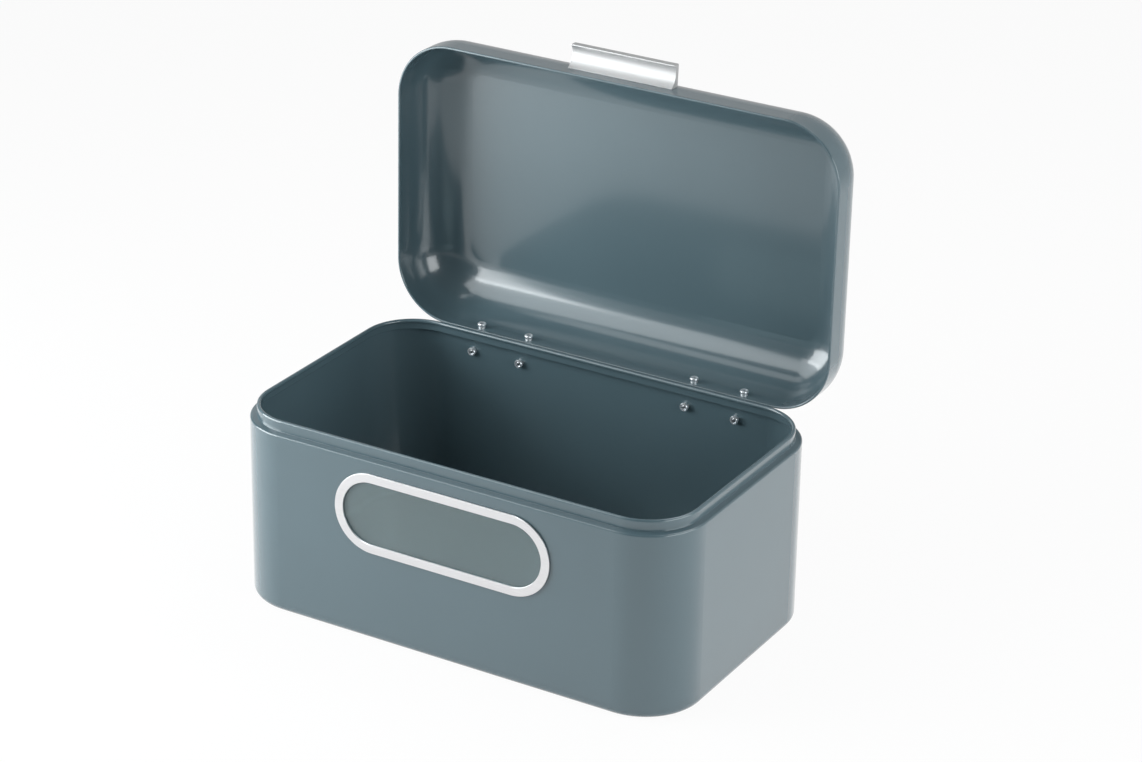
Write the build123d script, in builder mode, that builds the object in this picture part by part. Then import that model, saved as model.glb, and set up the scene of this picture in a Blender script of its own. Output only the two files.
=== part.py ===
"""Bread box of painted sheet steel: a deep tub with an upright neck and a curled rim, a lid on two
stop hinges, an oval window in the front and a bar handle on the lid.

Millimetres, +Z up, +X to the right of someone who faces the window, and the window faces -Y. The
origin is under the middle of the tub, on the surface that the box stands on. Each piece of the lid
is drawn with the lid closed and then turned about the hinge pins to where it stands open.
"""

import os
from math import sqrt

from build123d import *

# Overall sizes of the box
box_width = 305.0
box_depth = 183.0
shoulder_height = 117.5
lid_height = 41.0
corner_radius = 37.5
sheet = 0.6
flat_land = 1.0

# Tub: rounded foot of its walls, shoulder, neck and curled rim
foot_radius = 4.5
shoulder_radius = 1.2
shoulder_rise = 0.7
neck_root_radius = 0.8
rim_radius = 1.3
rim_height = 7.6
rim_curl = 270.0

# Lid: the curled rim is a smaller one, and the lid stops a little past upright
lid_edge_radius = 29.5
lid_rim_radius = 0.8
lid_rim_curl = 270.0
lid_seat_gap = 0.45
open_angle = 90.7

# Window: opening of the ring, its band, and how far the hidden pieces reach
window_length = 135.6
window_height = 40.2
window_z = 84.3
ring_band = 5.6
ring_thickness = 1.0
ring_edge = 0.2
ring_tape_band = 3.8
ring_tape_thickness = 0.3
cutout_margin = 0.7
pane_lap = 7.3
pane_thickness = 1.5
pane_tape_band = 6.0
pane_tape_thickness = 0.3

# Handle: a bar with a broad foot on the lid, a hollow for the fingertips and a lip
handle_length = 71.0
handle_height = 14.0
handle_foot_up = 7.9
handle_foot_depth = 7.5
handle_toe = 0.6
handle_waist_out = 8.0
handle_waist_up = 4.9
handle_lip_depth = 4.7
handle_lip_height = 0.6
handle_rise = 0.7
handle_edge = 0.25
handle_screw_spacing = 48.0

# Handle screws and washers
screw_radius = 1.25
screw_edge = 2.1
screw_reach = 2.5
screw_head_radius = 2.4
screw_head_height = 1.5
screw_slot_width = 0.8
screw_slot_length = 2.8
screw_slot_depth = 0.8
screw_hole_radius = 1.45
washer_radius = 2.9
washer_thickness = 0.5

# Hinges: three knuckles on one pin, two leaves and a stop heel
hinge_spacing = 152.4
hinge_length = 48.0
leaf_thickness = 0.9
leaf_corner = 3.0
pin_radius = 1.25
pin_head_radius = 2.0
pin_head_height = 0.8
hinge_axis_up = 0.6
hinge_gap = 0.3
heel_reach = 6.5
heel_width = 12.0

# Blind rivets, two in each leaf
rivet_spacing = 34.5
rivet_below_axis = 9.1
rivet_above_axis = 6.6
rivet_leaf_margin = 4.2
rivet_radius = 1.6
rivet_hole_radius = 1.65
rivet_head_radius = 3.2
rivet_head_height = 1.0
tail_length = 3.1
tail_neck_radius = 2.2
tail_radius = 2.7
tail_recess_radius = 1.85
tail_wall = 0.5
tail_shank = 1.0
tail_bulge = 1.0
rivet_head_edge = 0.2
rivet_crown_radius = 2.75
rivet_crown_height = 0.75
tail_recess_depth = 1.0
mandrel_radius = 0.85
mandrel_head_radius = 1.35
mandrel_head_edge = 1.05
mandrel_tip_radius = 0.5
mandrel_end_depth = 0.25
mandrel_dome = 0.35

# Clearances
running_fit = 0.05
end_gap = 0.1
stop_gap = 0.3
neck_gap = 0.4
washer_seat_gap = 0.02
pane_gap = 0.3

# Places that follow from the sizes above
shoulder_z = shoulder_height
neck_inset = sheet + tail_length + neck_gap
lid_rim_z = shoulder_z + lid_seat_gap
front_y = -box_depth / 2
back_y = box_depth / 2
knuckle_radius = pin_radius + running_fit + leaf_thickness
hinge_axis_out = knuckle_radius + hinge_gap
hinge_y = back_y + hinge_axis_out
hinge_z = shoulder_z + hinge_axis_up
hinge_axis = Axis((0, hinge_y, hinge_z), (1, 0, 0))
leaf_start = sqrt((knuckle_radius + hinge_gap) ** 2 - (hinge_axis_out - leaf_thickness) ** 2)
lid_flat = lid_height - lid_edge_radius
handle_z = lid_rim_z + handle_foot_up
screw_z = handle_z + handle_foot_depth - screw_edge
body_rivet_z = hinge_z - rivet_below_axis
lid_rivet_z = hinge_z + rivet_above_axis
grip = leaf_thickness + sheet
half_sheet = sheet / 2

os.makedirs("parts", exist_ok=True)


def save(builder, name):
    """Label a finished piece and write it as parts/NAME.step."""
    builder.part.label = name
    export_step(builder.part, f"parts/{name}.step")


def stand_open(builder):
    """Turn a piece of the closed lid about the hinge pins to where it stands open."""
    builder.part = builder.part.rotate(hinge_axis, -open_angle)


def plan_path(z):
    """Outline of the box from above, as a closed path at height z."""
    corners = [
        (-box_width / 2, front_y, z),
        (box_width / 2, front_y, z),
        (box_width / 2, back_y, z),
        (-box_width / 2, back_y, z),
    ]
    with BuildLine() as outline:
        FilletPolyline(*corners, radius=corner_radius, close=True)
    return outline.wire()


def across(path):
    """Plane square to a path at its start: x runs into the box and y runs up."""
    along = path % 0
    return Plane(origin=path @ 0, x_dir=Vector(0, 0, 1).cross(along), z_dir=along)


def front_plane(z, out=0.0):
    """Plane parallel to the front wall and facing out, with its origin at height z."""
    return Plane(origin=(0, front_y - out, z), x_dir=(1, 0, 0), z_dir=(0, -1, 0))


def back_plane(x, z, out=0.0):
    """Plane parallel to the back wall and facing out, with its origin at x and z."""
    return Plane(origin=(x, back_y + out, z), x_dir=(-1, 0, 0), z_dir=(0, 1, 0))


def skirt_inset(up, deep=0.0):
    """How far inside the flat of the lid's skirt its face curves, at a height above the lid's rim."""
    rise = max(up - lid_flat, 0.0)
    return lid_edge_radius - sqrt((lid_edge_radius - deep) ** 2 - rise**2)


# Planes on the lid's front that the handle and the screws' washers bear on
handle_seat = skirt_inset(handle_foot_up + handle_edge)
washer_seat = skirt_inset(screw_z - lid_rim_z + washer_radius, sheet) + washer_seat_gap

# Tub: one sheet that runs from the floor up the wall, over the shoulder and round the rim
tub_path = plan_path(0)
tub_join = foot_radius + flat_land
with BuildSketch(across(tub_path)) as tub_section:
    with BuildLine():
        tub_run = FilletPolyline(
            (tub_join, half_sheet),
            (half_sheet, half_sheet),
            (half_sheet, shoulder_height - half_sheet),
            (neck_inset + half_sheet, shoulder_height + shoulder_rise - half_sheet),
            (neck_inset + half_sheet, shoulder_height + rim_height - rim_radius),
            radius=[foot_radius - half_sheet, shoulder_radius - half_sheet, neck_root_radius - half_sheet],
        )
        JernArc(tub_run @ 1, tub_run % 1, rim_radius - half_sheet, -rim_curl)
    trace(line_width=sheet)

with BuildPart() as body_shell:
    sweep(tub_section.sketch, path=tub_path)
    with BuildSketch(Plane.XY):
        RectangleRounded(box_width - 2 * tub_join, box_depth - 2 * tub_join, corner_radius - tub_join)
    extrude(amount=sheet)
    with BuildSketch(front_plane(window_z)):
        SlotOverall(window_length + 2 * cutout_margin, window_height + 2 * cutout_margin)
    extrude(amount=-2 * sheet, mode=Mode.SUBTRACT)
    for side in (-1, 1):
        with BuildSketch(back_plane(side * hinge_spacing / 2, body_rivet_z)):
            with GridLocations(rivet_spacing, 0, 2, 1):
                Circle(rivet_hole_radius)
        extrude(amount=-2 * sheet, mode=Mode.SUBTRACT)
save(body_shell, "body_shell")

# Lid: one sheet that runs from its curled rim up the skirt and over the rounded edge
lid_path = plan_path(lid_rim_z)
lid_join = lid_edge_radius + flat_land
with BuildSketch(across(lid_path)) as lid_section:
    with BuildLine():
        lid_run = FilletPolyline(
            (lid_join, lid_height - half_sheet),
            (half_sheet, lid_height - half_sheet),
            (half_sheet, lid_rim_radius),
            radius=[lid_edge_radius - half_sheet],
        )
        JernArc(lid_run @ 1, lid_run % 1, lid_rim_radius - half_sheet, lid_rim_curl)
    trace(line_width=sheet)

with BuildPart() as lid_shell:
    sweep(lid_section.sketch, path=lid_path)
    with BuildSketch(Plane.XY.offset(lid_rim_z + lid_height - sheet)):
        RectangleRounded(box_width - 2 * lid_join, box_depth - 2 * lid_join, corner_radius - lid_join)
    extrude(amount=sheet)
    with BuildSketch(front_plane(screw_z)):
        with GridLocations(handle_screw_spacing, 0, 2, 1):
            Circle(screw_hole_radius)
    extrude(amount=-washer_seat, mode=Mode.SUBTRACT)
    for side in (-1, 1):
        with BuildSketch(back_plane(side * hinge_spacing / 2, lid_rivet_z)):
            with GridLocations(rivet_spacing, 0, 2, 1):
                Circle(rivet_hole_radius)
        extrude(amount=-2 * sheet, mode=Mode.SUBTRACT)
stand_open(lid_shell)
save(lid_shell, "lid_shell")

# Window ring: a flat oval band with softened outer edges, taped to the front wall
with BuildPart() as window_ring:
    with BuildSketch(front_plane(window_z, ring_tape_thickness)):
        SlotOverall(window_length + 2 * ring_band, window_height + 2 * ring_band)
        SlotOverall(window_length, window_height, mode=Mode.SUBTRACT)
    extrude(amount=ring_thickness)
    fillet(window_ring.faces().sort_by(Axis.Y)[0].edges(), ring_edge)
save(window_ring, "window_ring")

with BuildPart() as window_ring_tape:
    with BuildSketch(front_plane(window_z)):
        tape_edge = cutout_margin + ring_tape_band
        SlotOverall(window_length + 2 * tape_edge, window_height + 2 * tape_edge)
        SlotOverall(window_length + 2 * cutout_margin, window_height + 2 * cutout_margin, mode=Mode.SUBTRACT)
    extrude(amount=ring_tape_thickness)
save(window_ring_tape, "window_ring_tape")

# Window pane: a clear plate taped to the back of the front wall, with a raised oval in the cut-out
with BuildPart() as window_pane_tape:
    with BuildSketch(front_plane(window_z, -sheet)):
        SlotOverall(window_length + 2 * pane_lap, window_height + 2 * pane_lap)
        tape_edge = pane_lap - pane_tape_band
        SlotOverall(window_length + 2 * tape_edge, window_height + 2 * tape_edge, mode=Mode.SUBTRACT)
    extrude(amount=-pane_tape_thickness)
save(window_pane_tape, "window_pane_tape")

with BuildPart() as window_pane:
    with BuildSketch(front_plane(window_z, -sheet - pane_tape_thickness)):
        SlotOverall(window_length + 2 * pane_lap, window_height + 2 * pane_lap)
    extrude(amount=-pane_thickness)
    with BuildSketch(front_plane(window_z)):
        raised_edge = cutout_margin - pane_gap
        SlotOverall(window_length + 2 * raised_edge, window_height + 2 * raised_edge)
    extrude(amount=-sheet - pane_tape_thickness)
save(window_pane, "window_pane")

# Handle: its section has x pointing out from the lid and y up
handle_side = Plane(
    origin=(-handle_length / 2, front_y + handle_seat, handle_z), x_dir=(0, -1, 0), z_dir=(-1, 0, 0)
)
with BuildPart() as lid_handle:
    with BuildSketch(handle_side):
        with BuildLine():
            lip_top = handle_foot_depth + handle_rise
            lip_tip = (handle_height, lip_top - handle_lip_depth)
            lip_root = (handle_height - handle_lip_height, lip_top - handle_lip_depth)
            Polyline(
                (handle_toe, 0),
                (0, 0),
                (0, handle_foot_depth),
                (handle_height, lip_top),
                lip_tip,
                lip_root,
            )
            ThreePointArc(lip_root, (handle_waist_out, handle_waist_up), (handle_toe, 0))
        make_face()
    extrude(amount=-handle_length)
    fillet(lid_handle.edges().filter_by(Axis.X), handle_edge)
    with BuildSketch(front_plane(screw_z, -handle_seat)):
        with GridLocations(handle_screw_spacing, 0, 2, 1):
            Circle(screw_radius + running_fit)
    extrude(amount=handle_seat + screw_reach + end_gap, mode=Mode.SUBTRACT)
stand_open(lid_handle)
save(lid_handle, "lid_handle")

# Handle screws: from inside the lid, each on a washer that bears on the skirt's curve
with BuildPart() as handle_washers:
    with BuildSketch(front_plane(screw_z, -washer_seat)):
        with GridLocations(handle_screw_spacing, 0, 2, 1):
            Circle(washer_radius)
            Circle(screw_hole_radius, mode=Mode.SUBTRACT)
    extrude(amount=-washer_thickness)
stand_open(handle_washers)
save(handle_washers, "handle_washers")

head_seat = washer_seat + washer_thickness
with BuildPart() as handle_screws:
    with BuildSketch(front_plane(screw_z, -head_seat)):
        with GridLocations(handle_screw_spacing, 0, 2, 1):
            Circle(screw_head_radius)
    extrude(amount=-screw_head_height)
    fillet(handle_screws.faces().sort_by(Axis.Y)[-1].edges(), screw_head_height / 2)
    with BuildSketch(front_plane(screw_z, -head_seat - screw_head_height)):
        with GridLocations(handle_screw_spacing, 0, 2, 1):
            Rectangle(screw_slot_length, screw_slot_width)
            Rectangle(screw_slot_width, screw_slot_length)
    extrude(amount=screw_slot_depth, mode=Mode.SUBTRACT)
    with BuildSketch(front_plane(screw_z, -head_seat)):
        with GridLocations(handle_screw_spacing, 0, 2, 1):
            Circle(screw_radius)
    extrude(amount=head_seat + screw_reach)
stand_open(handle_screws)
save(handle_screws, "handle_screws")


def pin_plane(x):
    """Plane square to the hinge pins with its origin on their axis: x runs to the back and y up."""
    return Plane(origin=(x, hinge_y, hinge_z), x_dir=(0, 1, 0), z_dir=(1, 0, 0))


def leaf_outline(x, rivet_z, up):
    """Flat of a hinge leaf on the back wall, from beside the knuckles to past its rivets."""
    near = hinge_z + up * leaf_start
    far = rivet_z + up * rivet_leaf_margin
    middle = (near + far) / 2
    with BuildSketch(back_plane(x, middle)) as outline:
        Rectangle(hinge_length, abs(far - near))
        far_corners = outline.vertices().sort_by(Axis.Y, reverse=up > 0)[:2]
        fillet(far_corners, leaf_corner)
        with Locations((0, rivet_z - middle)):
            with GridLocations(rivet_spacing, 0, 2, 1):
                Circle(rivet_hole_radius, mode=Mode.SUBTRACT)
    return outline.sketch


def knuckle_section(x, up):
    """Section of a knuckle at x, with the strip that joins it to its leaf's flat."""
    outer = leaf_thickness - hinge_axis_out
    strip_end = up * (leaf_start + leaf_thickness)
    with BuildSketch(pin_plane(x)) as section:
        with BuildLine():
            Polyline(
                (-hinge_axis_out, strip_end),
                (-hinge_axis_out, up * leaf_start),
                (-knuckle_radius, up * hinge_axis_up),
                (-knuckle_radius, 0),
                (outer, 0),
                (outer, strip_end),
                close=True,
            )
        make_face()
        Circle(knuckle_radius)
    return section.sketch


def pin_circle(x, radius):
    """Circle about the pins' axis at x."""
    with BuildSketch(pin_plane(x)) as circle:
        Circle(radius)
    return circle.sketch


def heel_section(x):
    """Section of the heel, which hangs beside the body leaf when the lid is open."""
    stop_face = leaf_thickness + stop_gap - hinge_axis_out
    with BuildSketch(pin_plane(x).rotated((open_angle, 0, 0))) as section:
        with Locations((stop_face + leaf_thickness / 2, -heel_reach / 2)):
            Rectangle(leaf_thickness, heel_reach)
    return section.sketch


def blind_rivet(through):
    """Set blind rivet, head up, with the top of what it holds at z = 0 and its foot at -through."""
    tail_end = -through - tail_length
    bore = mandrel_radius + running_fit
    with BuildPart() as rivet:
        with BuildSketch(Plane.XZ):
            with BuildLine():
                Polyline(
                    (rivet_head_radius, rivet_head_edge),
                    (rivet_head_radius, 0),
                    (rivet_radius, 0),
                    (rivet_radius, -through),
                    (tail_neck_radius, -through),
                    (tail_neck_radius, -through - tail_shank),
                )
                Spline(
                    (tail_neck_radius, -through - tail_shank),
                    (tail_radius, tail_end + tail_bulge),
                    (tail_recess_radius + tail_wall, tail_end),
                    tangents=((0, -1), (-1, -1)),
                )
                Polyline(
                    (tail_recess_radius + tail_wall, tail_end),
                    (tail_recess_radius, tail_end),
                    (tail_recess_radius, tail_end + tail_recess_depth),
                    (bore, tail_end + tail_recess_depth),
                    (bore, rivet_head_height),
                    (rivet_radius, rivet_head_height),
                )
                ThreePointArc(
                    (rivet_radius, rivet_head_height),
                    (rivet_crown_radius, rivet_crown_height),
                    (rivet_head_radius, rivet_head_edge),
                )
            make_face()
        revolve(axis=Axis.Z)
    return rivet.part


def mandrel(through):
    """What stays of a rivet's mandrel: a broken stem, and a head in the end of the tail."""
    head_top = -through - tail_length + tail_recess_depth
    head_end = -through - tail_length + mandrel_end_depth
    with BuildPart() as remnant:
        with BuildSketch(Plane.XZ):
            with BuildLine():
                Polyline(
                    (0, rivet_head_height - mandrel_end_depth),
                    (mandrel_radius, rivet_head_height - mandrel_end_depth),
                    (mandrel_radius, head_top),
                    (mandrel_head_radius, head_top),
                    (mandrel_head_radius, head_end + mandrel_dome),
                )
                ThreePointArc(
                    (mandrel_head_radius, head_end + mandrel_dome),
                    (mandrel_head_edge, head_end + mandrel_dome / 4),
                    (mandrel_tip_radius, head_end),
                )
                Polyline(
                    (mandrel_tip_radius, head_end),
                    (0, head_end),
                    (0, rivet_head_height - mandrel_end_depth),
                )
            make_face()
        revolve(axis=Axis.Z)
    return remnant.part


# Hinges: on each the body's two outer knuckles hold the lid's middle one between them
middle_knuckle = hinge_length / 3
body_rivet = blind_rivet(grip)
body_mandrel = mandrel(grip)
lid_grip = leaf_thickness + skirt_inset(lid_rivet_z - lid_rim_z + tail_neck_radius, sheet)
lid_rivet = blind_rivet(lid_grip)
lid_mandrel = mandrel(lid_grip)

for side, name in ((-1, "left"), (1, "right")):
    centre = side * hinge_spacing / 2
    start = centre - hinge_length / 2
    middle_start = centre - middle_knuckle / 2
    middle_end = centre + middle_knuckle / 2
    outer_knuckle = middle_start - hinge_gap - start

    with BuildPart() as body_leaf:
        extrude(leaf_outline(centre, body_rivet_z, -1), amount=leaf_thickness)
        extrude(knuckle_section(start, -1), amount=outer_knuckle)
        extrude(knuckle_section(middle_end + hinge_gap, -1), amount=outer_knuckle)
        extrude(pin_circle(start, pin_radius + running_fit), amount=hinge_length, mode=Mode.SUBTRACT)
    save(body_leaf, f"{name}_hinge_body_leaf")

    with BuildPart() as lid_leaf:
        extrude(leaf_outline(centre, lid_rivet_z, 1), amount=leaf_thickness)
        extrude(knuckle_section(middle_start, 1), amount=middle_knuckle)
        extrude(heel_section(centre - heel_width / 2), amount=heel_width)
        extrude(pin_circle(start, pin_radius + running_fit), amount=hinge_length, mode=Mode.SUBTRACT)
    stand_open(lid_leaf)
    save(lid_leaf, f"{name}_hinge_lid_leaf")

    with BuildPart() as pin:
        extrude(pin_circle(start - end_gap, pin_radius), amount=hinge_length + 2 * end_gap)
        extrude(pin_circle(start - end_gap, pin_head_radius), amount=-pin_head_height)
        extrude(pin_circle(start + hinge_length + end_gap, pin_head_radius), amount=pin_head_height)
        pin_ends = pin.faces().sort_by(Axis.X)
        chamfer(pin_ends[0].edges(), pin_head_height / 2)
        chamfer(pin_ends[-1].edges(), pin_head_height / 2)
    save(pin, f"{name}_hinge_pin")

    groups = (
        (body_rivet, body_rivet_z, f"{name}_body_rivets", False),
        (body_mandrel, body_rivet_z, f"{name}_body_rivet_mandrels", False),
        (lid_rivet, lid_rivet_z, f"{name}_lid_rivets", True),
        (lid_mandrel, lid_rivet_z, f"{name}_lid_rivet_mandrels", True),
    )
    for piece, height, group_name, on_lid in groups:
        with BuildPart() as group:
            with Locations(back_plane(centre, height, leaf_thickness)):
                with GridLocations(rivet_spacing, 0, 2, 1):
                    add(piece)
        if on_lid:
            stand_open(group)
        save(group, group_name)
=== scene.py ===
"""Looks of the bread box: slate enamel on its shells, brushed ring and handle, bright rivets, a
clear window, and a plain white studio. Metres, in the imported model's own frame: +Z up, and the
window faces -Y.
"""

from math import radians

import bpy
from mathutils import Matrix, Vector

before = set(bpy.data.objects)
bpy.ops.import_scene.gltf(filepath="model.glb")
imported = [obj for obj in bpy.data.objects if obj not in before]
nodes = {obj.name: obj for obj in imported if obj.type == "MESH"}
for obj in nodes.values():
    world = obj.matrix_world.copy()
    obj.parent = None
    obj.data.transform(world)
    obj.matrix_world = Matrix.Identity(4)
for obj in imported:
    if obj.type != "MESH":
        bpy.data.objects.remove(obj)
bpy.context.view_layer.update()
scene = bpy.context.scene

# Camera: its place and angles were solved from the outlines of the box in the photograph
CAMERA_PLACE = Vector((0.9494, -1.56312, 0.98286))
CAMERA_AZIMUTH = radians(30.4292)
CAMERA_ELEVATION = radians(24.5784)
CAMERA_ROLL = radians(0.9526)
CAMERA_LENS = 107.482
CAMERA_SENSOR = 36.0
CAMERA_NEAR = 0.05

# Linear colours of the finishes
ENAMEL = (0.087, 0.136, 0.158)
STEEL = (0.80, 0.80, 0.81)
ALUMINIUM = (0.88, 0.92, 0.95)
SATIN = (0.63, 0.63, 0.63)
ZINC = (0.62, 0.63, 0.65)
TAPE = (0.03, 0.032, 0.034)
ACRYLIC = (0.44, 0.56, 0.58)

# Noise: nearly all of it lies between these two values, which are spread to the full range
NOISE_LOW = 0.25
NOISE_HIGH = 0.75
NOISE_DETAIL = 2.0

# Enamel: here and below, feature sizes and relief depths are in metres, and a spread is a share
ENAMEL_ROUGHNESS = 0.27
ENAMEL_SPECULAR = 0.4
COAT_ROUGHNESS = 0.12
COAT_IOR = 1.5
CLOUD_SIZE = 0.09
CLOUD_SPREAD = 0.03
PEEL_SIZE = 0.0022
PEEL_DETAIL = 1.0
PEEL_DEPTH = 0.000004

# Brushed metal: the bar's finer brushing scatters light, so it isn't fully metallic
STREAK_SIZE = 0.00025
STREAK_STRETCH = (60.0, 1.0, 1.0)
STREAK_DETAIL = 3.0
STREAK_SHADE = 0.90
STREAK_SPREAD = 0.15
STREAK_DEPTH = 0.000008
STREAK_RELIEF = 0.35
RING_ROUGHNESS = 0.38
RING_METALLIC = 1.0
BAR_ROUGHNESS = 0.44
BAR_METALLIC = 0.75

# Drawn or plated metal: the rivets' dull skin isn't fully metallic either
PATCH_SIZE = 0.0012
PATCH_SHADE = 0.88
PATCH_SPREAD = 0.2
PIT_SIZE = 0.0004
PIT_DEPTH = 0.000006
PIT_RELIEF = 0.4
RIVET_ROUGHNESS = 0.35
RIVET_METALLIC = 0.70
ZINC_ROUGHNESS = 0.30
ZINC_METALLIC = 1.0

# Foam tape
TAPE_ROUGHNESS = 0.9
GRAIN_SIZE = 0.0006
GRAIN_SPREAD = 0.2
GRAIN_DEPTH = 0.00002
GRAIN_RELIEF = 0.6

# Acrylic: faint wiping marks that run upright
ACRYLIC_TRANSMISSION = 0.80
ACRYLIC_IOR = 1.49
WIPE_SIZE = 0.03
WIPE_STRETCH = (1.0, 1.0, 4.0)
WIPE_SMOOTH = 0.02
WIPE_ROUGH = 0.05

# Studio: sizes and places in metres, and the shares of its glow that are seen and mirrored
WHITE = (1.0, 1.0, 1.0)
FLOOR_WHITE = (0.85, 0.85, 0.85)
FLOOR_SIZE = 12.0
FLOOR_DROP = 0.0003
BACKDROP_PLACE = 3.0
BACKDROP_HEIGHT = 4.0
STUDIO_SEEN = 0.94
MIRRORED_NEAR = 0.97
MIRRORED_FAR = 0.45
NEAR_RADIUS = 0.35
FAR_RADIUS = 0.65
WORLD_STRENGTH = 0.07
WORLD_SEEN = 1.0

# Lamps: name, place, size and power in watts, all of one colour and turned to one point
AIM = Vector((0.0, 0.0, 0.15))
LAMP_COLOUR = (0.95, 0.985, 1.0)
LAMPS = (
    ("left_softbox", (-0.720, -0.650, 0.855), (0.95, 0.75), 6.8),
    ("left_low_softbox", (-0.690, -0.430, 0.280), (0.60, 0.50), 7.4),
    ("right_softbox", (1.130, -0.080, 0.460), (1.04, 0.60), 10.0),
    ("rear_softbox", (0.250, 0.660, 1.360), (0.80, 0.60), 5.2),
    ("top_softbox", (-0.410, -0.030, 1.080), (0.50, 0.35), 0.9),
)


def set_camera():
    """Camera at the photograph's angle."""
    data = bpy.data.cameras.new("camera")
    data.sensor_width = CAMERA_SENSOR
    data.lens = CAMERA_LENS
    data.clip_start = CAMERA_NEAR
    camera = bpy.data.objects.new("camera", data)
    scene.collection.objects.link(camera)
    turn = Matrix.Rotation(CAMERA_AZIMUTH, 4, "Z")
    tilt = Matrix.Rotation(radians(90) - CAMERA_ELEVATION, 4, "X")
    roll = Matrix.Rotation(CAMERA_ROLL, 4, "Z")
    camera.matrix_world = Matrix.Translation(CAMERA_PLACE) @ turn @ tilt @ roll
    scene.camera = camera


class Graph:
    """A material with its node tree, and short ways to add nodes and links to it."""

    def __init__(self, name):
        self.material = bpy.data.materials.new(name)
        self.material.use_nodes = True
        self.tree = self.material.node_tree
        self.tree.nodes.clear()
        self.output = self.add("OutputMaterial")

    def add(self, kind, **settings):
        """New node of a kind, with its properties set."""
        node = self.tree.nodes.new("ShaderNode" + kind)
        for key, value in settings.items():
            setattr(node, key, value)
        return node

    def link(self, source, target):
        """Join an output socket to an input socket."""
        self.tree.links.new(source, target)

    def surface(self, **inputs):
        """Principled shader on the surface, with constants on its own sockets."""
        shader = self.add("BsdfPrincipled")
        for key, value in inputs.items():
            socket = shader.inputs[key.replace("_", " ")]
            socket.default_value = (*value, 1.0) if isinstance(value, tuple) else value
        self.link(shader.outputs["BSDF"], self.output.inputs["Surface"])
        return shader

    def noise(self, size, stretch=(1.0, 1.0, 1.0), detail=NOISE_DETAIL):
        """Noise whose features are about size metres across, drawn out along an axis by stretch."""
        place = self.add("TexCoord")
        scale = self.add("Mapping")
        scale.inputs["Scale"].default_value = [1.0 / (size * s) for s in stretch]
        self.link(place.outputs["Object"], scale.inputs["Vector"])
        noise = self.add("TexNoise")
        noise.inputs["Scale"].default_value = 1.0
        noise.inputs["Detail"].default_value = detail
        self.link(scale.outputs["Vector"], noise.inputs["Vector"])
        return noise.outputs["Fac"]

    def between(self, noise, low, high):
        """Noise mapped to a range."""
        spread = self.add("MapRange")
        spread.inputs["From Min"].default_value = NOISE_LOW
        spread.inputs["From Max"].default_value = NOISE_HIGH
        spread.inputs["To Min"].default_value = low
        spread.inputs["To Max"].default_value = high
        self.link(noise, spread.inputs["Value"])
        return spread.outputs["Result"]

    def tint(self, noise, low, high):
        """Colour that runs from low to high with a noise."""
        mix = self.add("Mix", data_type="RGBA")
        mix.inputs["A"].default_value = (*low, 1.0)
        mix.inputs["B"].default_value = (*high, 1.0)
        self.link(self.between(noise, 0.0, 1.0), mix.inputs["Factor"])
        return mix.outputs["Result"]

    def bump(self, shader, height, depth, strength=1.0):
        """Relief of the given depth in metres from a 0 to 1 height."""
        bump = self.add("Bump")
        bump.inputs["Strength"].default_value = strength
        bump.inputs["Distance"].default_value = depth
        self.link(height, bump.inputs["Height"])
        self.link(bump.outputs["Normal"], shader.inputs["Normal"])
        return bump


def shaded(colour, share):
    """A colour times a share."""
    return tuple(c * share for c in colour)


def enamel():
    """Gloss enamel with a faint orange peel."""
    g = Graph("slate_enamel")
    shader = g.surface(
        Roughness=ENAMEL_ROUGHNESS,
        Specular_IOR_Level=ENAMEL_SPECULAR,
        Coat_Weight=1.0,
        Coat_Roughness=COAT_ROUGHNESS,
        Coat_IOR=COAT_IOR,
    )
    dark = shaded(ENAMEL, 1 - CLOUD_SPREAD)
    light = shaded(ENAMEL, 1 + CLOUD_SPREAD)
    g.link(g.tint(g.noise(CLOUD_SIZE), dark, light), shader.inputs["Base Color"])
    bump = g.bump(shader, g.noise(PEEL_SIZE, detail=PEEL_DETAIL), PEEL_DEPTH)
    g.link(bump.outputs["Normal"], shader.inputs["Coat Normal"])
    return g.material


def brushed(name, colour, roughness, metallic):
    """Metal brushed along X: fine streaks in colour, roughness and relief."""
    g = Graph(name)
    shader = g.surface(Metallic=metallic)
    streak = g.noise(STREAK_SIZE, STREAK_STRETCH, detail=STREAK_DETAIL)
    smooth = roughness * (1 - STREAK_SPREAD)
    rough = roughness * (1 + STREAK_SPREAD)
    g.link(g.tint(streak, shaded(colour, STREAK_SHADE), colour), shader.inputs["Base Color"])
    g.link(g.between(streak, smooth, rough), shader.inputs["Roughness"])
    g.bump(shader, streak, STREAK_DEPTH, STREAK_RELIEF)
    return g.material


def plain_metal(name, colour, roughness, metallic):
    """Metal as drawn or plated, with a little unevenness."""
    g = Graph(name)
    shader = g.surface(Metallic=metallic)
    patch = g.noise(PATCH_SIZE)
    smooth = roughness * (1 - PATCH_SPREAD)
    rough = roughness * (1 + PATCH_SPREAD)
    g.link(g.tint(patch, shaded(colour, PATCH_SHADE), colour), shader.inputs["Base Color"])
    g.link(g.between(patch, smooth, rough), shader.inputs["Roughness"])
    g.bump(shader, g.noise(PIT_SIZE), PIT_DEPTH, PIT_RELIEF)
    return g.material


def foam_tape():
    """Matt adhesive tape."""
    g = Graph("foam_tape")
    shader = g.surface(Roughness=TAPE_ROUGHNESS)
    grain = g.noise(GRAIN_SIZE)
    dark = shaded(TAPE, 1 - GRAIN_SPREAD)
    light = shaded(TAPE, 1 + GRAIN_SPREAD)
    g.link(g.tint(grain, dark, light), shader.inputs["Base Color"])
    g.bump(shader, grain, GRAIN_DEPTH, GRAIN_RELIEF)
    return g.material


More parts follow.
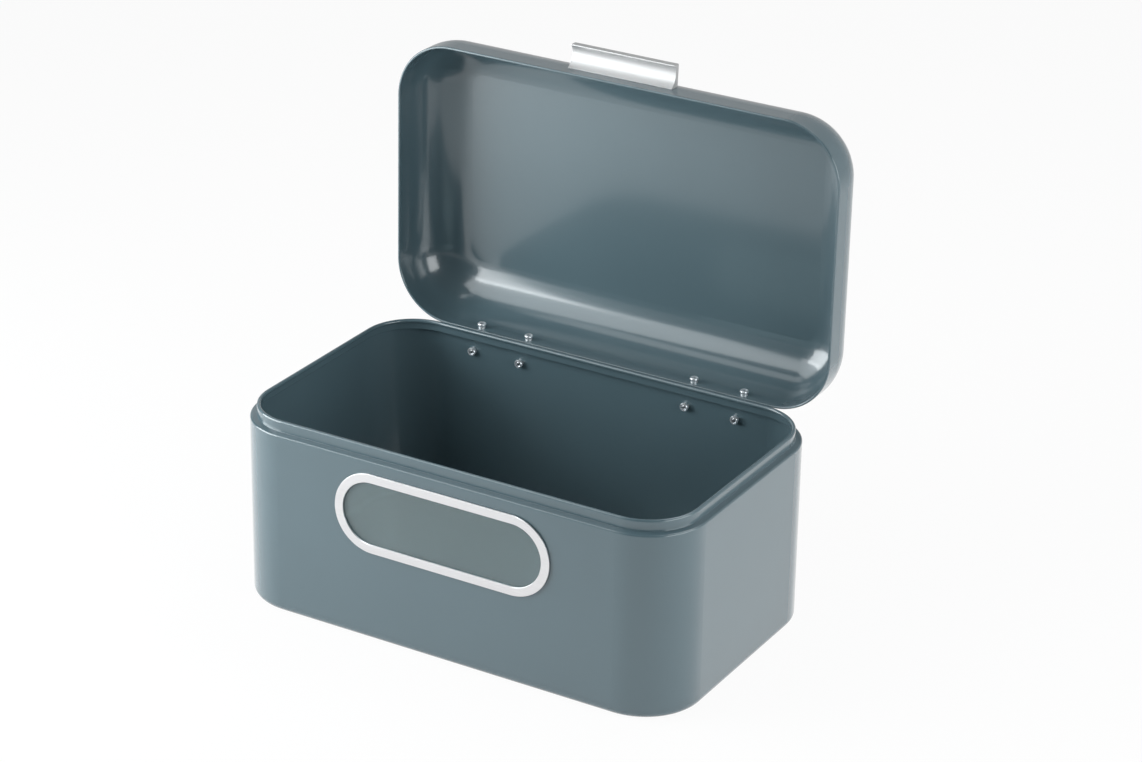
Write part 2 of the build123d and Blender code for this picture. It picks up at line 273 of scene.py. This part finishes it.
def acrylic():
    """Clear acrylic sheet."""
    g = Graph("clear_acrylic")
    shader = g.surface(
        Base_Color=ACRYLIC,
        Transmission_Weight=ACRYLIC_TRANSMISSION,
        IOR=ACRYLIC_IOR,
    )
    wipe = g.noise(WIPE_SIZE, WIPE_STRETCH)
    g.link(g.between(wipe, WIPE_SMOOTH, WIPE_ROUGH), shader.inputs["Roughness"])
    return g.material


def wear(node, material):
    """Put one material on all of a node's slots."""
    for slot in node.material_slots:
        slot.link = "OBJECT"
        slot.material = material


def finish_nodes():
    """Give every CAD node its material."""
    paint = enamel()
    ring = brushed("brushed_steel_ring", STEEL, RING_ROUGHNESS, RING_METALLIC)
    bar = brushed("brushed_aluminium_bar", SATIN, BAR_ROUGHNESS, BAR_METALLIC)
    rivet = plain_metal("bright_aluminium", ALUMINIUM, RIVET_ROUGHNESS, RIVET_METALLIC)
    zinc = plain_metal("zinc_plate", ZINC, ZINC_ROUGHNESS, ZINC_METALLIC)
    tape = foam_tape()
    pane = acrylic()
    groups = (
        (paint, ("body_shell", "lid_shell")),
        (ring, ("window_ring",)),
        (tape, ("window_ring_tape", "window_pane_tape")),
        (pane, ("window_pane",)),
        (bar, ("lid_handle",)),
        (zinc, ("handle_screws", "handle_washers")),
    )
    for material, names in groups:
        for name in names:
            wear(nodes[name], material)
    for side in ("left", "right"):
        for part in ("hinge_body_leaf", "hinge_lid_leaf", "hinge_pin"):
            wear(nodes[f"{side}_{part}"], zinc)
        for body in ("body", "lid"):
            wear(nodes[f"{side}_{body}_rivets"], rivet)
            wear(nodes[f"{side}_{body}_rivet_mandrels"], zinc)


def mirrored_share(g):
    """Share of a glow that gloss and glass show: most near the box, and less further off."""
    place = g.add("TexCoord")
    distance = g.add("VectorMath", operation="LENGTH")
    g.link(place.outputs["Object"], distance.inputs[0])
    share = g.add("MapRange", interpolation_type="SMOOTHSTEP")
    share.inputs["From Min"].default_value = NEAR_RADIUS
    share.inputs["From Max"].default_value = FAR_RADIUS
    share.inputs["To Min"].default_value = MIRRORED_NEAR
    share.inputs["To Max"].default_value = MIRRORED_FAR
    g.link(distance.outputs["Value"], share.inputs["Value"])
    return share.outputs["Result"]


def glow_share(g):
    """Shares of a glow: one for the camera, another for rays that a gloss or a pane sends on."""
    path = g.add("LightPath")
    camera = g.add("Math", operation="MULTIPLY")
    camera.inputs[1].default_value = STUDIO_SEEN
    g.link(path.outputs["Is Camera Ray"], camera.inputs[0])
    either = g.add("Math", operation="MAXIMUM")
    g.link(path.outputs["Is Glossy Ray"], either.inputs[0])
    g.link(path.outputs["Is Transmission Ray"], either.inputs[1])
    share = g.add("Math", operation="MULTIPLY_ADD")
    g.link(either.outputs["Value"], share.inputs[0])
    g.link(mirrored_share(g), share.inputs[1])
    g.link(camera.outputs["Value"], share.inputs[2])
    return share.outputs["Value"]


def studio_white():
    """White that the lamps light, with a glow where it is seen, so that a soft shadow stays."""
    g = Graph("studio_white")
    lit = g.add("BsdfDiffuse")
    lit.inputs["Color"].default_value = (*FLOOR_WHITE, 1.0)
    glow = g.add("Emission")
    glow.inputs["Color"].default_value = (*WHITE, 1.0)
    mix = g.add("MixShader")
    g.link(glow_share(g), mix.inputs["Fac"])
    g.link(lit.outputs["BSDF"], mix.inputs[1])
    g.link(glow.outputs["Emission"], mix.inputs[2])
    g.link(mix.outputs["Shader"], g.output.inputs["Surface"])
    return g.material


def make_sheet(name, corners, material):
    """One flat sheet of the studio."""
    mesh = bpy.data.meshes.new(name)
    mesh.from_pydata(corners, [], [(0, 1, 2, 3)])
    mesh.materials.append(material)
    sheet = bpy.data.objects.new(name, mesh)
    scene.collection.objects.link(sheet)


def make_surroundings():
    """White floor just under the box, so that no two faces lie in one plane, and a backdrop."""
    side = FLOOR_SIZE / 2
    back = BACKDROP_PLACE
    foot = -FLOOR_DROP
    top = BACKDROP_HEIGHT
    floor = [(-side, -side, foot), (side, -side, foot), (side, side, foot), (-side, side, foot)]
    backdrop = [(-side, back, foot), (side, back, foot), (side, back, top), (-side, back, top)]
    white = studio_white()
    make_sheet("floor", floor, white)
    make_sheet("backdrop", backdrop, white)


def light_world():
    """Plain dim world that the camera sees as white."""
    world = bpy.data.worlds.new("studio")
    world.use_nodes = True
    tree = world.node_tree
    background = tree.nodes["Background"]
    background.inputs["Color"].default_value = (*WHITE, 1.0)
    path = tree.nodes.new("ShaderNodeLightPath")
    strength = tree.nodes.new("ShaderNodeMapRange")
    strength.inputs["To Min"].default_value = WORLD_STRENGTH
    strength.inputs["To Max"].default_value = WORLD_SEEN
    tree.links.new(path.outputs["Is Camera Ray"], strength.inputs["Value"])
    tree.links.new(strength.outputs["Result"], background.inputs["Strength"])
    scene.world = world


def softbox(name, place, size, power):
    """Area lamp at a place, turned to face the box."""
    data = bpy.data.lights.new(name, "AREA")
    data.shape = "RECTANGLE"
    data.size, data.size_y = size
    data.energy = power
    data.color = LAMP_COLOUR
    lamp = bpy.data.objects.new(name, data)
    scene.collection.objects.link(lamp)
    lamp.visible_camera = False
    lamp.location = place
    lamp.rotation_mode = "QUATERNION"
    lamp.rotation_quaternion = (AIM - Vector(place)).to_track_quat("-Z", "Y")


set_camera()
finish_nodes()
make_surroundings()
light_world()
for lamp in LAMPS:
    softbox(*lamp)
scene.view_settings.view_transform = "Standard"
